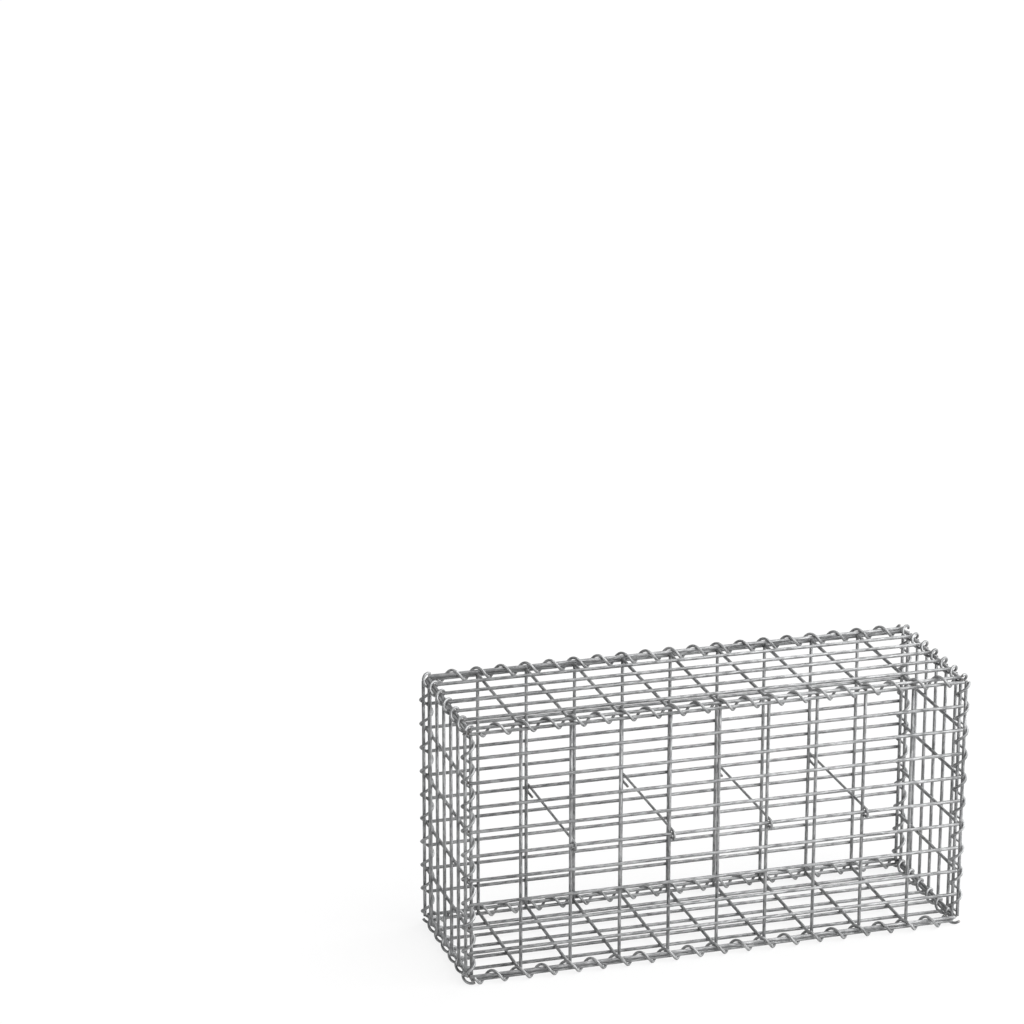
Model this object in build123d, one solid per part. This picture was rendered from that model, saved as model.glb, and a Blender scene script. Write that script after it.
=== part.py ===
from build123d import *
import math
import os

os.makedirs("parts", exist_ok=True)

# Empty welded-mesh gabion basket, one unit, lid laced shut.
# Lengths in millimetres, +X along the basket, +Y to the back, +Z up.

# Basket size, between the grid lines of the mesh
basket_length = 1000.0
basket_depth = 300.0
basket_height = 500.0

# Mesh opening: close spacing of the outer line wires, wide spacing of the cross wires behind them
line_spacing = 50.0
cross_spacing = 100.0

# Panel wire, drawn as a bar of few sides inside the round wire
wire_diameter = 6.0
wire_sides = 8

# How far the line wires of each pair of panels lie outside the grid box
face_standoff = 5.0
lid_standoff = 9.0
end_standoff = 10.6
# The last uprights of the front and back sit inside the grid line, clear of the end panels
upright_inset = 1.0
# Length of a line wire past its last cross wire, where the corner leaves room
face_overhang = 5.0

# Spiral binders: wire and the free play round the two wires that they hold.
# Each makes one turn to a line spacing, in straight steps
spiral_wire = 5.0
spiral_play = 0.1
spiral_steps = 8
# Spirals stop short of the corners so that the three that meet there stay clear
long_spiral_end = 15.0
short_spiral_end = 1.0
upright_spiral_end = 15.0

# Hooked ties from front to back: bars of few sides, each hook bent in straight steps
tie_wire = 5.0
tie_sides = 6
tie_steps = 6
tie_spacing = 200.0
tie_count = 4
tie_bend_radius = 8.0
tie_stub = 28.0
tie_gap = 0.1
tie_side_gap = 0.5

# Worked out: the flats of crossing wires meet face to face
wire_radius = wire_diameter / 2
flat_radius = wire_radius * math.cos(math.pi / wire_sides)
layer_step = 2 * flat_radius

face_line_y = basket_depth / 2 + face_standoff
face_cross_y = face_line_y - layer_step
lid_line_z = basket_height / 2 + lid_standoff
lid_cross_z = lid_line_z - layer_step
end_line_x = basket_length / 2 + end_standoff
end_cross_x = end_line_x - layer_step
upright_end_x = basket_length / 2 - upright_inset

# The square bar that stands for the round spiral wire has its area
spiral_side = spiral_wire * math.sqrt(math.pi) / 2


def even(length, spacing):
    """The spacing next to this one that divides the length evenly."""
    return length / round(length / spacing)


def grid(length, spacing):
    """Places of the wires of one direction, centred, from edge to edge."""
    step = even(length, spacing)
    return [i * step - length / 2 for i in range(round(length / step) + 1)]


def wire(start, end):
    """One straight wire: a regular bar with flats facing the axes."""
    path = Line(start, end)
    along = path % 0
    side = Vector(0, 0, 1) if abs(along.Z) < 0.5 else Vector(1, 0, 0)
    section = RegularPolygon(wire_radius, wire_sides, rotation=180 / wire_sides)
    return extrude(Plane(origin=start, x_dir=side, z_dir=along) * section, path.length)


def weld(wires):
    """Fuse the crossing wires of a panel into one piece."""
    return wires[0].fuse(*wires[1:])


def face_panel(side):
    """Front or back: long line wires outside, uprights inside."""
    half = basket_height / 2
    uprights = [max(-upright_end_x, min(upright_end_x, x)) for x in grid(basket_length, cross_spacing)]
    reach = upright_end_x + face_overhang
    lines = [wire((-reach, side * face_line_y, z), (reach, side * face_line_y, z))
             for z in grid(basket_height, line_spacing)]
    cross = [wire((x, side * face_cross_y, -half), (x, side * face_cross_y, half)) for x in uprights]
    return weld(lines + cross)


def flat_panel(side):
    """Lid or base: long line wires outside, wires from front to back inside."""
    half_length = basket_length / 2
    half_depth = basket_depth / 2
    lines = [wire((-half_length, y, side * lid_line_z), (half_length, y, side * lid_line_z))
             for y in grid(basket_depth, line_spacing)]
    cross = [wire((x, -half_depth, side * lid_cross_z), (x, half_depth, side * lid_cross_z))
             for x in grid(basket_length, cross_spacing)]
    return weld(lines + cross)


def end_panel(side):
    """Left or right end: upright line wires outside, level wires inside."""
    half_height = basket_height / 2
    half_depth = basket_depth / 2
    lines = [wire((side * end_line_x, y, -half_height), (side * end_line_x, y, half_height))
             for y in grid(basket_depth, line_spacing)]
    cross = [wire((side * end_cross_x, -half_depth, z), (side * end_cross_x, half_depth, z))
             for z in grid(basket_height, cross_spacing)]
    return weld(lines + cross)


def facet(*corners):
    return Face(Wire.make_polygon(corners))


def skin(rings):
    """Closed solid through rings of four corners, each side folded into flat triangles.

    The side between a ring's first two corners folds inwards, the others outwards.
    """
    faces = [facet(*rings[0]), facet(*rings[-1])]
    for ring, after in zip(rings, rings[1:]):
        faces += [facet(ring[0], ring[1], after[0]), facet(ring[1], after[1], after[0])]
        for i in range(1, 4):
            j = (i + 1) % 4
            faces += [facet(ring[i], ring[j], after[j]), facet(ring[i], after[j], after[i])]
    return Solid(Shell(faces))


def spiral(length, inner_radius, run, pitch, angle):
    """Right-handed spiral along +Z, centred, that passes angle (degrees) at each grid line of the run."""
    # The bar's inner side stays outside inner_radius halfway along each straight step
    radius = (inner_radius + spiral_side / 2) / math.cos(math.pi / spiral_steps)
    lead = pitch / (2 * math.pi)
    count = math.ceil(length / pitch * spiral_steps)
    rings = []
    for i in range(count + 1):
        height = length * (i / count - 0.5)
        turn = math.radians(angle) + (height + run / 2) / lead
        radial = Vector(math.cos(turn), math.sin(turn), 0)
        tangent = Vector(-radius * math.sin(turn), radius * math.cos(turn), lead)
        centre = radial * radius + Vector(0, 0, height)
        out = radial * (spiral_side / 2)
        across = tangent.cross(radial).normalized() * (spiral_side / 2)
        rings.append([centre - out - across, centre - out + across,
                      centre + out + across, centre + out - across])
    return skin(rings)


def pair_radius(first, second):
    """Inner radius of a spiral round two wires, given their centres across the edge."""
    return math.dist(first, second) / 2 + wire_radius + spiral_play


def middle(first, second):
    return [(a + b) / 2 for a, b in zip(first, second)]


# Spirals round the long edges: local x is +Y, local y is +Z
long_radius = pair_radius((basket_depth / 2, lid_line_z), (face_line_y, basket_height / 2))
long_y, long_z = middle((basket_depth / 2, lid_line_z), (face_line_y, basket_height / 2))
long_length = basket_length - 2 * long_spiral_end
# Two turns to each space between cross wires
long_pitch = even(basket_length, cross_spacing) / 2


def long_spiral(side_y, side_z, angle):
    place = Plane(origin=(0, side_y * long_y, side_z * long_z), x_dir=(0, 1, 0), z_dir=(1, 0, 0))
    return place * spiral(long_length, long_radius, basket_length, long_pitch, angle)


# Spirals round the uprights at the four corners: local x is +X
corner_radius = pair_radius((upright_end_x, face_cross_y), (end_line_x, basket_depth / 2))
corner_x, corner_y = middle((upright_end_x, face_cross_y), (end_line_x, basket_depth / 2))
corner_length = basket_height - 2 * upright_spiral_end
corner_pitch = even(basket_height, line_spacing)


def corner_spiral(side_x, side_y, angle):
    place = Plane(origin=(side_x * corner_x, side_y * corner_y, 0), x_dir=(1, 0, 0), z_dir=(0, 0, 1))
    return place * spiral(corner_length, corner_radius, basket_height, corner_pitch, angle)


# Spirals round the short edges of the lid and base, as wide as those of the long edges;
# they lie against the end panel's wire. Local x is +Z, local y is +X
short_radius = long_radius
short_x, short_z = middle((basket_length / 2, lid_cross_z), (end_cross_x, basket_height / 2))
short_rise = 2.3
short_length = basket_depth - 2 * short_spiral_end
short_pitch = even(basket_depth, line_spacing)


def short_spiral(side_x, side_z, angle):
    place = Plane(origin=(side_x * short_x, 0, side_z * (short_z + short_rise)),
                  x_dir=(0, 0, 1), z_dir=(0, 1, 0))
    return place * spiral(short_length, short_radius, basket_depth, short_pitch, angle)


def cross_tie(x):
    """Tie wire that hooks over the middle line wire of the front and back and returns inside."""
    level = wire_radius + tie_wire / 2 + tie_gap
    bend_z = level - tie_bend_radius
    # The straight steps of a hook lie outside its bend, from the bar round to the stub
    reach = tie_bend_radius / math.cos(math.pi / tie_steps / 2)
    turns = [math.pi * (i + 0.5) / tie_steps for i in range(tie_steps)]
    hook = [(face_line_y + reach * math.sin(turn), bend_z + reach * math.cos(turn)) for turn in turns]
    hook.append((face_line_y - tie_stub, bend_z - tie_bend_radius))
    front = [(0, -y, z) for y, z in reversed(hook)]
    back = [(0, y, z) for y, z in hook]
    path = Polyline(*front, *back)
    end = Plane(origin=path @ 0, x_dir=(1, 0, 0), z_dir=path % 0)
    section = end * RegularPolygon(tie_wire / 2, tie_sides)
    return Pos(x, 0, 0) * sweep(section, path=path, transition=Transition.RIGHT)


# Angles, in degrees, at which each spiral passes the grid lines: they keep the strands
# between the cross wires and the ends of the line wires
nodes = {
    "front_panel": face_panel(-1),
    "back_panel": face_panel(1),
    "base_panel": flat_panel(-1),
    "lid_panel": flat_panel(1),
    "left_end_panel": end_panel(-1),
    "right_end_panel": end_panel(1),
    "front_top_spiral": long_spiral(-1, 1, 79),
    "back_top_spiral": long_spiral(1, 1, 79),
    "front_base_spiral": long_spiral(-1, -1, 127),
    "back_base_spiral": long_spiral(1, -1, 45),
    "left_top_spiral": short_spiral(-1, 1, 350),
    "right_top_spiral": short_spiral(1, 1, 32),
    "left_base_spiral": short_spiral(-1, -1, 190),
    "right_base_spiral": short_spiral(1, -1, 170),
    "front_left_spiral": corner_spiral(-1, -1, 148),
    "front_right_spiral": corner_spiral(1, -1, 0),
    "back_left_spiral": corner_spiral(-1, 1, 90),
    "back_right_spiral": corner_spiral(1, 1, 20),
}
tie_step = wire_radius + tie_wire / 2 + tie_side_gap
for i in range(tie_count):
    x = (i - (tie_count - 1) / 2) * tie_spacing + tie_step
    nodes[f"cross_tie_{i + 1}"] = cross_tie(x)

# Set the basket down: the lowest spiral rests on z = 0
ground = min(solid.bounding_box().min.Z for solid in nodes.values())
for name, solid in nodes.items():
    export_step(Pos(0, 0, -ground) * solid, f"parts/{name}.step")
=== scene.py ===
import math

import bmesh
import bpy
from mathutils import Matrix, Vector


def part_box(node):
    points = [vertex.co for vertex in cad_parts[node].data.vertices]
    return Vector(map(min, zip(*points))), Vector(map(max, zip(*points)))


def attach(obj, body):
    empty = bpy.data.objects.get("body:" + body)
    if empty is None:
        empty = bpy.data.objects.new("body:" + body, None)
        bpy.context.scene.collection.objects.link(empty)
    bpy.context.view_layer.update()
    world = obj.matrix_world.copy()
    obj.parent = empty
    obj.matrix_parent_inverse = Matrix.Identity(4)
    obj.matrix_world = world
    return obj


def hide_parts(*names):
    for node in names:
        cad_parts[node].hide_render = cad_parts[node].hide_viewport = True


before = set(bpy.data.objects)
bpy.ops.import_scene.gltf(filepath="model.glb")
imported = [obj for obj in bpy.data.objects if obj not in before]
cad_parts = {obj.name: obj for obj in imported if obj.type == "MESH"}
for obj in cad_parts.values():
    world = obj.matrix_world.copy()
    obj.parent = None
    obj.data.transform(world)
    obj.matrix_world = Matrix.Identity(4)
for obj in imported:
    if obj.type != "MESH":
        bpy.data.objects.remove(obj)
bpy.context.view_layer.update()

# Front and back panels: hard-drawn steel wire, resistance welded where it crosses and coated
# with zinc. Level line wires lie outside every 50 mm and uprights inside every 100 mm;
# their ends are sheared off just past the last weld.
wire_radius = 0.0033
wire_sides = 16
line_spacing = 0.05
cross_spacing = 0.1
half_length = 0.5
upright_inset = 0.005
end_chamfer = 0.0004
# Wires are numbered up to this and then from nought again, so that their streaks differ
numbers = 97
# Half the thickness of the eight-sided 6 mm bar that the frame has for each round wire
frame_wire_radius = 0.003
frame_wire_sides = 8
bar_half = frame_wire_radius * math.cos(math.pi / frame_wire_sides)
weld_across = 0.0031
weld_deep = 0.0018


def spread(first, last, spacing):
    """Even places from first to last, about one spacing apart."""
    count = round((last - first) / spacing)
    return [first + (last - first) * i / count for i in range(count + 1)]


def new_wirework():
    """An empty mesh with what the coat reads: place along, across and count of welds."""
    wirework = bmesh.new()
    wirework.verts.layers.float_vector.new("along_wire")
    wirework.verts.layers.float_vector.new("across_wire")
    return wirework


def add_wire(wirework, start, end, weld_spacing):
    """One straight round wire; the coat's streaks follow it and its welds are counted from start."""
    along = wirework.verts.layers.float_vector["along_wire"]
    across = wirework.verts.layers.float_vector["across_wire"]
    run = end - start
    number = len(wirework.faces) % numbers
    made = bmesh.ops.create_cone(
        wirework, cap_ends=True, segments=wire_sides,
        radius1=wire_radius, radius2=wire_radius, depth=run.length,
    )["verts"]
    for vert in made:
        reach = vert.co.z + run.length / 2
        vert[along] = (reach, reach / weld_spacing, weld_spacing)
        vert[across] = (vert.co.x, vert.co.y, number)
    turn = run.to_track_quat("Z", "Y").to_matrix().to_4x4()
    bmesh.ops.transform(wirework, matrix=Matrix.Translation((start + end) / 2) @ turn, verts=made)


def add_weld(wirework, middle, through):
    """The zinc-filled fillet where two wires are sunk into each other, stacked on the axis through."""
    along = wirework.verts.layers.float_vector["along_wire"]
    shape = [weld_across] * 3
    shape[through] = weld_deep
    place = Matrix.Translation(middle) @ Matrix.Diagonal((*shape, 1))
    for vert in bmesh.ops.create_icosphere(wirework, subdivisions=2, radius=1, matrix=place)["verts"]:
        vert[along] = (0, 0, line_spacing)


def chamfer_ends(wirework, sides):
    """Sheared wire ends: a small chamfer all round each end face."""
    caps = [face for face in wirework.faces if len(face.verts) == sides]
    rims = list(dict.fromkeys(edge for face in caps for edge in face.edges))
    bmesh.ops.bevel(wirework, geom=rims, offset=end_chamfer, affect="EDGES",
                    segments=1, profile=0.5, material=-1)


def finish_piece(name, wirework, sides, coat, node):
    """Mesh to object: coated wire, bare steel on the sheared end faces, riding on the frame."""
    mesh = bpy.data.meshes.new(name)
    for face in wirework.faces:
        is_end = len(face.verts) == sides
        face.material_index = 1 if is_end else 0
        face.smooth = not is_end
    wirework.to_mesh(mesh)
    wirework.free()
    mesh.materials.append(coat)
    mesh.materials.append(sheared_steel)
    piece = bpy.data.objects.new(name, mesh)
    bpy.context.scene.collection.objects.link(piece)
    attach(piece, "root")
    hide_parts(node)


def make_zinc_coat():
    """Zinc on drawn wire: draw streaks, fine spangle, cloudy bloom and dull heat marks at the welds."""
    group = bpy.data.node_groups.new("zinc_coat", "ShaderNodeTree")
    for name, way, kind in (
        ("Zinc", "INPUT", "NodeSocketColor"),
        ("Dull zinc", "INPUT", "NodeSocketColor"),
        ("Polish", "INPUT", "NodeSocketFloat"),
        ("Color", "OUTPUT", "NodeSocketColor"),
        ("Roughness", "OUTPUT", "NodeSocketFloat"),
        ("Height", "OUTPUT", "NodeSocketFloat"),
    ):
        group.interface.new_socket(name, in_out=way, socket_type=kind)
    nodes, links = group.nodes, group.links
    values = nodes.new("NodeGroupInput")
    result = nodes.new("NodeGroupOutput")

    def math_node(operation, first, second, clamp=False):
        node = nodes.new("ShaderNodeMath")
        node.operation = operation
        node.use_clamp = clamp
        for socket, value in zip(node.inputs, (first, second)):
            if isinstance(value, (int, float)):
                socket.default_value = value
            else:
                links.new(value, socket)
        return node.outputs[0]

    along = nodes.new("ShaderNodeAttribute")
    along.attribute_name = "along_wire"
    along_parts = nodes.new("ShaderNodeSeparateXYZ")
    links.new(along.outputs["Vector"], along_parts.inputs[0])
    across = nodes.new("ShaderNodeAttribute")
    across.attribute_name = "across_wire"
    across_parts = nodes.new("ShaderNodeSeparateXYZ")
    links.new(across.outputs["Vector"], across_parts.inputs[0])

    # Draw streaks: long along the wire, fine across it, different on each wire
    streaks_along = 60.0
    streaks_across = 430.0
    shift_per_wire = 7.3
    streak_place = nodes.new("ShaderNodeCombineXYZ")
    shifted = math_node("ADD", math_node("MULTIPLY", along_parts.outputs[0], streaks_along),
                        math_node("MULTIPLY", across_parts.outputs[2], shift_per_wire))
    links.new(shifted, streak_place.inputs[0])
    for part in (0, 1):
        spread_out = math_node("MULTIPLY", across_parts.outputs[part], streaks_across)
        links.new(spread_out, streak_place.inputs[part + 1])
    streaks = nodes.new("ShaderNodeTexNoise")
    streaks.inputs["Scale"].default_value = 1.0
    streaks.inputs["Detail"].default_value = 3.0
    links.new(streak_place.outputs[0], streaks.inputs["Vector"])
    drawn = nodes.new("ShaderNodeMapRange")
    for socket, value in (("From Min", 0.38), ("From Max", 0.62), ("To Min", 0.0), ("To Max", 1.0)):
        drawn.inputs[socket].default_value = value
    links.new(streaks.outputs["Fac"], drawn.inputs["Value"])

    # Bloom: soft clouds of white zinc film, in the object's own space
    place = nodes.new("ShaderNodeTexCoord")
    bloom = nodes.new("ShaderNodeTexNoise")
    bloom.inputs["Scale"].default_value = 11.0
    bloom.inputs["Detail"].default_value = 4.0
    links.new(place.outputs["Object"], bloom.inputs["Vector"])
    cloud = nodes.new("ShaderNodeMapRange")
    for socket, value in (("From Min", 0.38), ("From Max", 0.64), ("To Min", 0.0), ("To Max", 1.0)):
        cloud.inputs[socket].default_value = value
    links.new(bloom.outputs["Fac"], cloud.inputs["Value"])

    # Spangle: small crystals of slightly different grey
    spangle = nodes.new("ShaderNodeTexVoronoi")
    spangle.inputs["Scale"].default_value = 420.0
    links.new(place.outputs["Object"], spangle.inputs["Vector"])
    crystal = nodes.new("ShaderNodeSeparateColor")
    links.new(spangle.outputs["Color"], crystal.inputs[0])

    # Distance to the next weld, from the count of welds and their spacing
    heat_strength = 0.45
    count = math_node("ADD", along_parts.outputs[1], 0.5)
    off_weld = math_node("ABSOLUTE", math_node("SUBTRACT", math_node("FRACT", count, 0.0), 0.5), 0.0)
    away = math_node("MULTIPLY", off_weld, along_parts.outputs[2])
    heat = nodes.new("ShaderNodeMapRange")
    heat.interpolation_type = "SMOOTHSTEP"
    for socket, value in (("From Min", 0.0025), ("From Max", 0.0075), ("To Min", 1.0), ("To Max", 0.0)):
        heat.inputs[socket].default_value = value
    links.new(away, heat.inputs["Value"])
    heat_mark = math_node("MULTIPLY", heat.outputs["Result"], heat_strength)

    # How dull the zinc is: the shares of streaks, spangle and bloom, and at least the heat mark
    streak_share = 0.6
    spangle_share = 0.15
    bloom_share = 0.25
    grain = math_node("ADD", math_node("MULTIPLY", drawn.outputs["Result"], streak_share),
                      math_node("MULTIPLY", crystal.outputs[0], spangle_share))
    clouded = math_node("MULTIPLY", cloud.outputs["Result"], bloom_share)
    mixed = math_node("ADD", grain, clouded, clamp=True)
    dulled = math_node("MAXIMUM", mixed, heat_mark, clamp=True)

    tone = nodes.new("ShaderNodeMix")
    tone.data_type = "RGBA"
    links.new(dulled, tone.inputs["Factor"])
    links.new(values.outputs["Zinc"], tone.inputs["A"])
    links.new(values.outputs["Dull zinc"], tone.inputs["B"])
    links.new(tone.outputs["Result"], result.inputs["Color"])

    # Dull and heated zinc is rougher, and crystals stand out less than streaks
    dull_roughness = 0.16
    heat_roughness = 0.2
    spangle_relief = 0.4
    rough = math_node("ADD", math_node("MULTIPLY", mixed, dull_roughness),
                      math_node("MULTIPLY", heat_mark, heat_roughness))
    links.new(math_node("ADD", rough, values.outputs["Polish"], clamp=True), result.inputs["Roughness"])
    relief = math_node("MULTIPLY", crystal.outputs[1], spangle_relief)
    links.new(math_node("ADD", streaks.outputs["Fac"], relief), result.inputs["Height"])
    return group


def coated_wire(name, zinc, dull_zinc, polish, relief):
    """A wire's material: half metal, half dull film, coloured, roughened and raised by the coat."""
    material = bpy.data.materials.new(name)
    material.use_nodes = True
    nodes, links = material.node_tree.nodes, material.node_tree.links
    shader = nodes["Principled BSDF"]
    shader.inputs["Metallic"].default_value = zinc_metallic
    shader.inputs["Specular IOR Level"].default_value = zinc_specular
    coat = nodes.new("ShaderNodeGroup")
    coat.node_tree = zinc_coat
    coat.inputs["Zinc"].default_value = (*zinc, 1)
    coat.inputs["Dull zinc"].default_value = (*dull_zinc, 1)
    coat.inputs["Polish"].default_value = polish
    bump = nodes.new("ShaderNodeBump")
    bump.inputs["Strength"].default_value = 0.5
    bump.inputs["Distance"].default_value = relief
    links.new(coat.outputs["Color"], shader.inputs["Base Color"])
    links.new(coat.outputs["Roughness"], shader.inputs["Roughness"])
    links.new(coat.outputs["Height"], bump.inputs["Height"])
    links.new(bump.outputs["Normal"], shader.inputs["Normal"])
    return material


def make_sheared_steel():
    """Cut faces of the wire: bare grey steel, a little darkened, torn by the shear."""
    material = bpy.data.materials.new("sheared_steel")
    material.use_nodes = True
    nodes, links = material.node_tree.nodes, material.node_tree.links
    shader = nodes["Principled BSDF"]
    shader.inputs["Metallic"].default_value = 0.9
    shader.inputs["Roughness"].default_value = 0.55
    place = nodes.new("ShaderNodeTexCoord")
    tear = nodes.new("ShaderNodeTexNoise")
    tear.inputs["Scale"].default_value = 900.0
    tear.inputs["Detail"].default_value = 3.0
    links.new(place.outputs["Object"], tear.inputs["Vector"])
    tone = nodes.new("ShaderNodeMix")
    tone.data_type = "RGBA"
    tone.inputs["A"].default_value = (0.16, 0.15, 0.145, 1)
    tone.inputs["B"].default_value = (0.3, 0.285, 0.27, 1)
    links.new(tear.outputs["Fac"], tone.inputs["Factor"])
    links.new(tone.outputs["Result"], shader.inputs["Base Color"])
    return material


zinc_metallic = 0.45
zinc_specular = 0.2
bright_zinc = (0.55, 0.555, 0.56)
dull_zinc_grey = (0.13, 0.133, 0.136)
zinc_coat = make_zinc_coat()
sheared_steel = make_sheared_steel()
mesh_wire = coated_wire("mesh_wire", bright_zinc, dull_zinc_grey, polish=0.46, relief=0.00002)

for node in ("front_panel", "back_panel"):
    low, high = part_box(node)
    outer_y, inner_y = low.y + bar_half, high.y - bar_half
    if node == "back_panel":
        outer_y, inner_y = inner_y, outer_y
    bottom, top = low.z + bar_half, high.z - bar_half
    first, last = low.x + upright_inset, high.x - upright_inset
    uprights = [min(max(x, first), last) for x in spread(-half_length, half_length, cross_spacing)]
    panel = new_wirework()
    for z in spread(bottom, top, line_spacing):
        add_wire(panel, Vector((low.x, outer_y, z)), Vector((high.x, outer_y, z)), cross_spacing)
        for x in uprights:
            add_weld(panel, Vector((x, (outer_y + inner_y) / 2, z)), through=1)
    for x in uprights:
        add_wire(panel, Vector((x, inner_y, bottom)), Vector((x, inner_y, top)), line_spacing)
    chamfer_ends(panel, wire_sides)
    finish_piece(node.replace("panel", "mesh"), panel, wire_sides, mesh_wire, node)


# Lid and base: the same welded mesh laid flat. Long line wires lie outside, above on the lid
# and below on the base, and short wires from front to back are welded across inside them.
for node in ("lid_panel", "base_panel"):
    low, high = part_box(node)
    outer_z, inner_z = high.z - bar_half, low.z + bar_half
    if node == "base_panel":
        outer_z, inner_z = inner_z, outer_z
    left, right = low.x + bar_half, high.x - bar_half
    front, back = low.y + bar_half, high.y - bar_half
    panel = new_wirework()
    for y in spread(front, back, line_spacing):
        add_wire(panel, Vector((left, y, outer_z)), Vector((right, y, outer_z)), cross_spacing)
        for x in spread(left, right, cross_spacing):
            add_weld(panel, Vector((x, y, (outer_z + inner_z) / 2)), through=2)
    for x in spread(left, right, cross_spacing):
        add_wire(panel, Vector((x, front, inner_z)), Vector((x, back, inner_z)), line_spacing)
    chamfer_ends(panel, wire_sides)
    finish_piece(node.replace("panel", "mesh"), panel, wire_sides, mesh_wire, node)


# End panels: the same mesh stood on end, with upright line wires outside every 50 mm and
# level wires from front to back inside every 100 mm, welded and coated as the others are.
for node in ("left_end_panel", "right_end_panel"):
    low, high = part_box(node)
    outer_x, inner_x = low.x + bar_half, high.x - bar_half
    if node == "right_end_panel":
        outer_x, inner_x = inner_x, outer_x
    front, back = low.y + bar_half, high.y - bar_half
    bottom, top = low.z + bar_half, high.z - bar_half
    panel = new_wirework()
    for y in spread(front, back, line_spacing):
        add_wire(panel, Vector((outer_x, y, bottom)), Vector((outer_x, y, top)), cross_spacing)
        for z in spread(bottom, top, cross_spacing):
            add_weld(panel, Vector(((outer_x + inner_x) / 2, y, z)), through=0)
    for z in spread(bottom, top, cross_spacing):
        add_wire(panel, Vector((inner_x, front, z)), Vector((inner_x, back, z)), line_spacing)
    chamfer_ends(panel, wire_sides)
    finish_piece(node.replace("panel", "mesh"), panel, wire_sides, mesh_wire, node)


# Spiral binders: wire thinner than the mesh's, zinc coated and coiled to one turn every 50 mm,
# screwed along each corner round the two edge wires that meet there, and cropped near its end.
spiral_wire_radius = 0.00275
spiral_sides = 12
steps_per_turn = 36
spiral_pitch = line_spacing
lead = spiral_pitch / math.tau
spiral_slack = 0.00005
# Count of welds and their spacing on a wire that has none: always half a space away
unwelded = (0.5, 1)
spiral_wire = coated_wire("spiral_wire", bright_zinc, dull_zinc_grey, polish=0.42, relief=0.000015)


def make_spiral(node, axis, angle, before, after):
    """A right-handed spiral along an axis, at angle (degrees) at its middle.

    It runs that far before and after the middle.
    """
    low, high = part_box(node)
    radius = (high - low)[(axis + 1) % 3] / 2 - spiral_slack - spiral_wire_radius
    climb = math.atan2(lead, radius)
    turn = (before + after) / lead
    steps = round(turn / math.tau * steps_per_turn)
    wirework = new_wirework()
    along = wirework.verts.layers.float_vector["along_wire"]
    across = wirework.verts.layers.float_vector["across_wire"]
    ring = bmesh.ops.create_circle(wirework, cap_ends=False, segments=spiral_sides,
                                   radius=spiral_wire_radius)["verts"]
    for vert in ring:
        vert[across] = (vert.co.x, vert.co.y, angle)
    # The ring stands square to the strand at its lower end
    place = Matrix.Rotation(math.radians(angle) - before / lead, 4, "Z")
    place = place @ Matrix.Translation((radius, 0, -before))
    place = place @ Matrix.Rotation(climb - math.pi / 2, 4, "X")
    bmesh.ops.transform(wirework, matrix=place, verts=ring)
    bmesh.ops.spin(wirework, geom=ring + wirework.edges[:], cent=(0, 0, 0), axis=(0, 0, 1),
                   dvec=(0, 0, (before + after) / steps), angle=turn, steps=steps)
    for vert in wirework.verts:
        height = vert.co.z + vert[across].y * math.cos(climb) + before
        vert[along] = (height / math.sin(climb), *unwelded)
    close_ends(wirework)
    # Its own Z becomes the axis, and its own X and Y follow in turn
    stand = Matrix.Identity(3)
    for column, turned in enumerate((1, 2, 0)):
        stand.col[column] = Matrix.Identity(3).col[(axis + turned) % 3]
    bmesh.ops.transform(wirework, matrix=Matrix.Translation((low + high) / 2) @ stand.to_4x4(),
                        verts=wirework.verts)
    finish_piece(node + "_wire", wirework, spiral_sides, spiral_wire, node)


def close_ends(wirework):
    """Flat cut faces at both ends of a bent wire, with the chamfer that the cropper leaves."""
    rims = [edge for edge in wirework.edges if edge.is_boundary]
    bmesh.ops.holes_fill(wirework, edges=rims, sides=0)
    bmesh.ops.recalc_face_normals(wirework, faces=wirework.faces)
    chamfer_ends(wirework, spiral_sides)


# Angle at the middle of each, and its reach before and after it: long edges, then short, then upright
for node, angle, before, after in (
    ("front_top_spiral", 79, 0.485, 0.487), ("back_top_spiral", 79, 0.485, 0.496),
    ("front_base_spiral", 127, 0.497, 0.487), ("back_base_spiral", 45, 0.496, 0.496),
):
    make_spiral(node, 0, angle, before, after)
for node, angle, before, after in (
    ("left_top_spiral", 350, 0.1575, 0.1575), ("right_top_spiral", 32, 0.1575, 0.1575),
    ("left_base_spiral", 190, 0.1575, 0.1575), ("right_base_spiral", 170, 0.1575, 0.1575),
):
    make_spiral(node, 1, angle, before, after)
for node, angle, before, after in (
    ("front_left_spiral", 148, 0.246, 0.246), ("front_right_spiral", 0, 0.246, 0.248),
    ("back_left_spiral", 90, 0.246, 0.246), ("back_right_spiral", 20, 0.246, 0.246),
):
    make_spiral(node, 2, angle, before, after)


# Cross ties: thin zinc-coated wire from front to back at mid height, so that the filled faces
# don't bulge. Each end is bent by hand over the middle line wire and turned back inside.
tie_wire_radius = 0.0026
tie_bend_radius = 0.008
tie_stub = 0.028
bend_steps = 14
# Half the height of the six-sided bar that the frame has for each tie
frame_tie_radius = 0.0025
frame_tie_sides = 6
tie_half = frame_tie_radius * math.cos(math.pi / frame_tie_sides)
# Turns a tie's place along the basket into its wire number
numbers_per_metre = 100
tie_wire = coated_wire("tie_wire", bright_zinc, dull_zinc_grey, polish=0.44, relief=0.000015)


def draw_on(wirework, ring, shift):
    """Extrude the ring of edges along a straight stretch and give back the new ring."""
    made = bmesh.ops.extrude_edge_only(wirework, edges=ring)["geom"]
    drawn = [part for part in made if isinstance(part, bmesh.types.BMVert)]
    bmesh.ops.translate(wirework, vec=shift, verts=drawn)
    return [part for part in made if isinstance(part, bmesh.types.BMEdge)]


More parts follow.
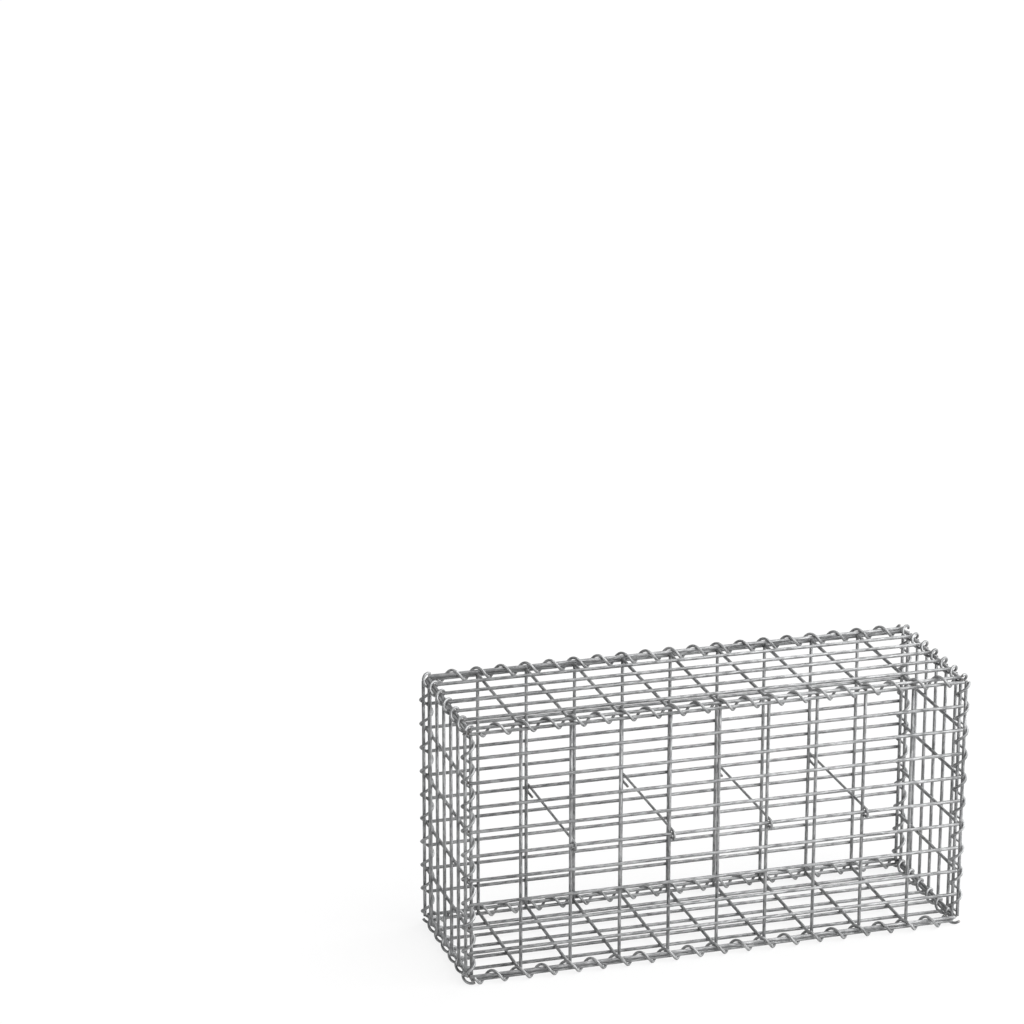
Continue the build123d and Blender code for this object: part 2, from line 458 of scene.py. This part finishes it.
def bend_round(wirework, ring, centre):
    """Bend half a turn downwards about a level axis through centre and give back the new ring."""
    corners = list(dict.fromkeys(vert for edge in ring for vert in edge.verts))
    made = bmesh.ops.spin(wirework, geom=ring + corners, cent=centre, axis=(-1, 0, 0),
                          angle=math.pi, steps=bend_steps)["geom_last"]
    return [part for part in made if isinstance(part, bmesh.types.BMEdge)]


for node in ("cross_tie_1", "cross_tie_2", "cross_tie_3", "cross_tie_4"):
    low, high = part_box(node)
    x = (low.x + high.x) / 2
    hook_y = high.y - tie_half - tie_bend_radius
    hook_z = (low.z + high.z) / 2
    tie = new_wirework()
    along = tie.verts.layers.float_vector["along_wire"]
    across = tie.verts.layers.float_vector["across_wire"]
    start = bmesh.ops.create_circle(tie, cap_ends=False, segments=spiral_sides,
                                    radius=tie_wire_radius)["verts"]
    for vert in start:
        vert[across] = (vert.co.x, vert.co.y, x * numbers_per_metre)
    place = Matrix.Translation((x, tie_stub - hook_y, hook_z - tie_bend_radius))
    bmesh.ops.transform(tie, matrix=place @ Matrix.Rotation(math.pi / 2, 4, "X"), verts=start)
    ring = draw_on(tie, tie.edges[:], (0, -tie_stub, 0))
    ring = bend_round(tie, ring, (x, -hook_y, hook_z))
    ring = draw_on(tie, ring, (0, 2 * hook_y, 0))
    ring = bend_round(tie, ring, (x, hook_y, hook_z))
    draw_on(tie, ring, (0, -tie_stub, 0))
    for vert in tie.verts:
        vert[along] = (vert.co.y, *unwelded)
    close_ends(tie)
    finish_piece(node + "_wire", tie, spiral_sides, tie_wire, node)


# Studio: a wide pale floor that shows white and keeps the basket's soft shadow. The light that
# it throws back is held low, so that the undersides of the wires stay dark.
floor_reach = 60.0
floor_drop = 0.0001
shown_white = 0.85
shown_tone = (0.95, 0.95, 0.95, 1)
bounced_tone = (0.15, 0.15, 0.15, 1)
floor_mesh = bmesh.new()
bmesh.ops.create_grid(floor_mesh, x_segments=1, y_segments=1, size=floor_reach,
                      matrix=Matrix.Translation((0, 0, -floor_drop)))
floor_data = bpy.data.meshes.new("studio_floor")
floor_mesh.to_mesh(floor_data)
floor_mesh.free()
studio_floor = bpy.data.objects.new("studio_floor", floor_data)
bpy.context.scene.collection.objects.link(studio_floor)
pale_floor = bpy.data.materials.new("pale_floor")
pale_floor.use_nodes = True
nodes, links = pale_floor.node_tree.nodes, pale_floor.node_tree.links
lit = nodes["Principled BSDF"]
lit.inputs["Roughness"].default_value = 1.0
lit.inputs["Specular IOR Level"].default_value = 0.0
white = nodes.new("ShaderNodeEmission")
white.inputs["Strength"].default_value = 1.0
path = nodes.new("ShaderNodeLightPath")
seen = nodes.new("ShaderNodeMath")
seen.operation = "MAXIMUM"
links.new(path.outputs["Is Camera Ray"], seen.inputs[0])
links.new(path.outputs["Is Glossy Ray"], seen.inputs[1])
seen_through = nodes.new("ShaderNodeMath")
seen_through.operation = "MAXIMUM"
links.new(seen.outputs[0], seen_through.inputs[0])
links.new(path.outputs["Is Transmission Ray"], seen_through.inputs[1])
tone = nodes.new("ShaderNodeMix")
tone.data_type = "RGBA"
tone.inputs["A"].default_value = bounced_tone
tone.inputs["B"].default_value = shown_tone
links.new(seen_through.outputs[0], tone.inputs["Factor"])
links.new(tone.outputs["Result"], lit.inputs["Base Color"])
share = nodes.new("ShaderNodeMath")
share.operation = "MULTIPLY"
share.inputs[1].default_value = shown_white
links.new(seen_through.outputs[0], share.inputs[0])
blend = nodes.new("ShaderNodeMixShader")
links.new(share.outputs[0], blend.inputs["Fac"])
links.new(lit.outputs[0], blend.inputs[1])
links.new(white.outputs[0], blend.inputs[2])
links.new(blend.outputs[0], nodes["Material Output"].inputs["Surface"])
floor_data.materials.append(pale_floor)


# Light: one very wide soft key from the upper right in front, far enough off to light everything
# alike, in a studio that is white at the horizon and dark grey above.
key_toward = Vector((0.69, -0.34, 0.64))
key_strength = 5.3
key_width = math.radians(100)
key_data = bpy.data.lights.new("key_lamp", "SUN")
key_data.energy = key_strength
key_data.angle = key_width
key_lamp = bpy.data.objects.new("key_lamp", key_data)
key_lamp.rotation_euler = key_toward.to_track_quat("Z", "Y").to_euler()
bpy.context.scene.collection.objects.link(key_lamp)

world = bpy.data.worlds.new("grey_studio")
world.use_nodes = True
bpy.context.scene.world = world
nodes, links = world.node_tree.nodes, world.node_tree.links
direction = nodes.new("ShaderNodeTexCoord")
parts = nodes.new("ShaderNodeSeparateXYZ")
links.new(direction.outputs["Generated"], parts.inputs[0])
dusk = nodes.new("ShaderNodeMapRange")
dusk.interpolation_type = "SMOOTHSTEP"
glow_top = 0.13
grey_from = 0.3
overhead_grey = 0.12
for socket, value in (
    ("From Min", glow_top), ("From Max", grey_from), ("To Min", 1.0), ("To Max", overhead_grey),
):
    dusk.inputs[socket].default_value = value
links.new(parts.outputs["Z"], dusk.inputs["Value"])
links.new(dusk.outputs["Result"], nodes["Background"].inputs["Strength"])
nodes["Background"].inputs["Color"].default_value = (1, 1, 1, 1)


# Camera: long lens, a little to the left and above, as the photograph was taken.
camera_data = bpy.data.cameras.new("camera")
camera_data.sensor_width = 36.0
camera_data.lens = 133.65
camera = bpy.data.objects.new("camera", camera_data)
camera.location = (-2.3229, -6.6075, 3.1034)
camera.rotation_euler = (math.radians(72.2613), 0, math.radians(-16.438))
bpy.context.scene.collection.objects.link(camera)
bpy.context.scene.camera = camera
bpy.context.scene.view_settings.view_transform = "Standard"
